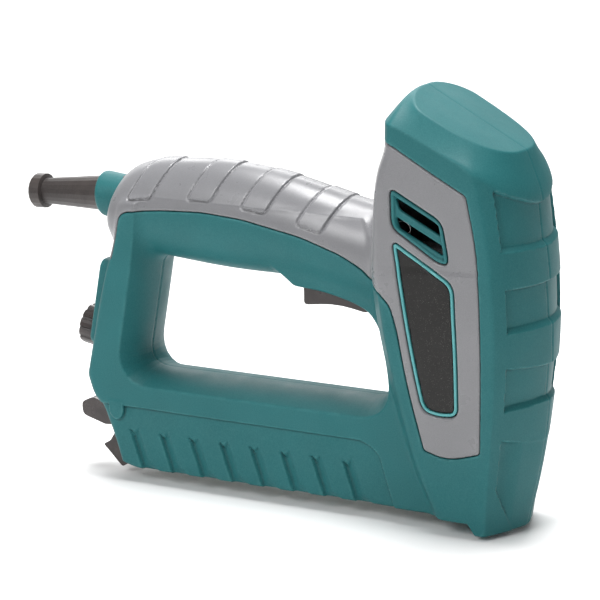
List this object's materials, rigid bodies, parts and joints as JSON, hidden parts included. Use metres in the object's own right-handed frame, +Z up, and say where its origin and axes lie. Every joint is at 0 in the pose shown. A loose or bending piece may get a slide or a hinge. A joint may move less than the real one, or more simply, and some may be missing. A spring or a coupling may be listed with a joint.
{
  "type": "electric staple gun",
  "caption": "Corded electric staple gun: pistol head, closed D-handle, soft grip, trigger, force dial, rocker switch, slide-out magazine and solenoid driver.",
  "frame": {"origin": "on the nose's flat work face, just behind the driver slot, on the parting plane of the two housing halves", "axes": "+X towards the front of the head, +Y to the tool's left as the user holds it, +Z up from the work face to the cap"},
  "size_m": [0.2415, 0.066, 0.1776],
  "materials": {
    "teal_plastic": "satin, fine spark-eroded texture",
    "grip_grey": "satin soft-touch",
    "black_plastic": "matte",
    "boot_rubber": "matte",
    "steel": "ground",
    "spring_steel": "drawn wire",
    "copper": "enamelled copper wire",
    "zinc": "zinc plated",
    "board": "solder resist",
    "nylon": "moulded nylon",
    "wire_black": "vinyl sheath",
    "label_plate": "gloss film"
  },
  "bodies": {
    "housing": {"left_housing": "teal_plastic", "right_housing": "teal_plastic", "left_grip": "grip_grey", "right_grip": "grip_grey", "left_vent_grille": "teal_plastic", "right_vent_grille": "teal_plastic", "left_label": "label_plate", "right_label": "label_plate", "strain_relief_boot": "boot_rubber", "cable_clamp": "nylon", "lead_mains": "wire_black", "lead_coil": "wire_black", "trigger_pin": "steel", "trigger_spring": "spring_steel", "trigger_switch": "black_plastic", "switch_button": "nylon", "potentiometer": "zinc", "power_switch_body": "black_plastic", "control_board": "board", "board_capacitor": "black_plastic", "solenoid_yoke": "steel", "coil_bobbin": "nylon", "coil_winding": "copper", "return_spring": "spring_steel", "bumper": "boot_rubber", "nose_guide": "steel", "nose_front_plate": "steel", "nose_bracket": "steel", "housing_screw_1": "zinc", "housing_screw_2": "zinc", "housing_screw_3": "zinc", "housing_screw_4": "zinc", "housing_screw_5": "zinc", "housing_screw_6": "zinc", "housing_screw_7": "zinc"},
    "driver": {"plunger": "steel", "driver_stem": "nylon", "driver_carrier": "steel", "driver_blade": "steel"},
    "trigger": {"trigger": "black_plastic"},
    "dial": {"dial_knob": "black_plastic", "dial_shaft": "steel"},
    "rocker": {"power_rocker": "black_plastic"},
    "magazine": {"magazine_channel": "zinc", "staple_rail": "zinc", "guide_rod": "steel", "magazine_end": "black_plastic", "latch_pin": "steel", "pusher_spring": "spring_steel", "staple_strip": "zinc"},
    "pusher": {"pusher": "black_plastic"},
    "latch": {"release_latch": "black_plastic"}
  },
  "joints": [
    {"name": "driver_stroke", "type": "slide", "parent": "housing", "child": "driver", "axis": [0, 0, -1], "range_m": [0, 0.0205], "stiffness_N_per_m": 400, "springref_m": -0.02, "deforming": ["return_spring"]},
    {"name": "trigger_pull", "type": "hinge", "parent": "housing", "child": "trigger", "pos_m": [-0.062, 0, 0.092], "axis": [0, 1, 0], "range_deg": [0, 12], "stiffness_Nm_per_rad": 0.6, "springref_deg": -11.46, "deforming": ["trigger_spring"]},
    {"name": "dial_turn", "type": "hinge", "parent": "housing", "child": "dial", "pos_m": [-0.18922, 0, 0.06176], "axis": [-0.9858, 0, 0.1678], "range_deg": [0, 270]},
    {"name": "rocker_press", "type": "hinge", "parent": "housing", "child": "rocker", "pos_m": [-0.18598, 0, 0.08079], "axis": [0, 1, 0], "range_deg": [0, 12]},
    {"name": "magazine_slide", "type": "slide", "parent": "housing", "child": "magazine", "axis": [-1, 0, 0], "range_m": [0, 0.13]},
    {"name": "pusher_slide", "type": "slide", "parent": "magazine", "child": "pusher", "axis": [1, 0, 0], "range_m": [-0.045, 0], "stiffness_N_per_m": 60, "springref_m": 0.05, "deforming": ["pusher_spring"]},
    {"name": "latch_press", "type": "hinge", "parent": "magazine", "child": "latch", "pos_m": [-0.182, 0, 0.025], "axis": [0, -1, 0], "range_deg": [0, 8], "stiffness_Nm_per_rad": 0.05, "springref_deg": -5.73}
  ]
}
